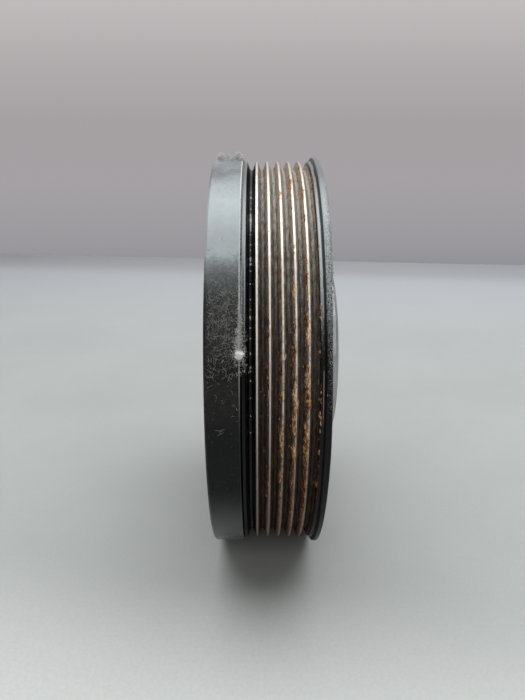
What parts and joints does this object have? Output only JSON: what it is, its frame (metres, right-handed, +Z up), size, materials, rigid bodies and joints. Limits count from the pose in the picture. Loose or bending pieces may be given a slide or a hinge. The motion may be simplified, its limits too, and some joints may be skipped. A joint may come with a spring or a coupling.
{
  "type": "crankshaft pulley",
  "caption": "Ribbed-belt crankshaft pulley with a rubber-mounted inertia ring beside the belt ring, a flared lip and a bored, drilled hub.",
  "frame": {"origin": "centre of the hub's face that meets the crankshaft, on the crank axis", "axes": "+Y along the crank axis towards the engine, +Z up, +X to the side that the picture looks at"},
  "size_m": [0.1396, 0.0415, 0.1396],
  "materials": {
    "hub_steel": "turned bare steel, dulled blue-grey",
    "hard_rubber": "matt black moulded rubber",
    "black_paint": "satin black paint with fine dust, scratches and a chalky dab",
    "bearing_plastic": "dark low-friction plastic strip",
    "soft_rubber": "matt black moulded rubber",
    "sheet_steel": "phosphated sheet steel",
    "worn_belt_steel": "black paint in the grooves, crests polished by the belt, rust spots"
  },
  "bodies": {
    "root": {"hub": "hub_steel", "damper_rubber": "hard_rubber", "inertia_ring": "black_paint", "bearing_bush": "bearing_plastic", "isolator_rubber": "soft_rubber", "isolator_outer_ring": "sheet_steel", "belt_ring": "worn_belt_steel"}
  },
  "joints": []
}
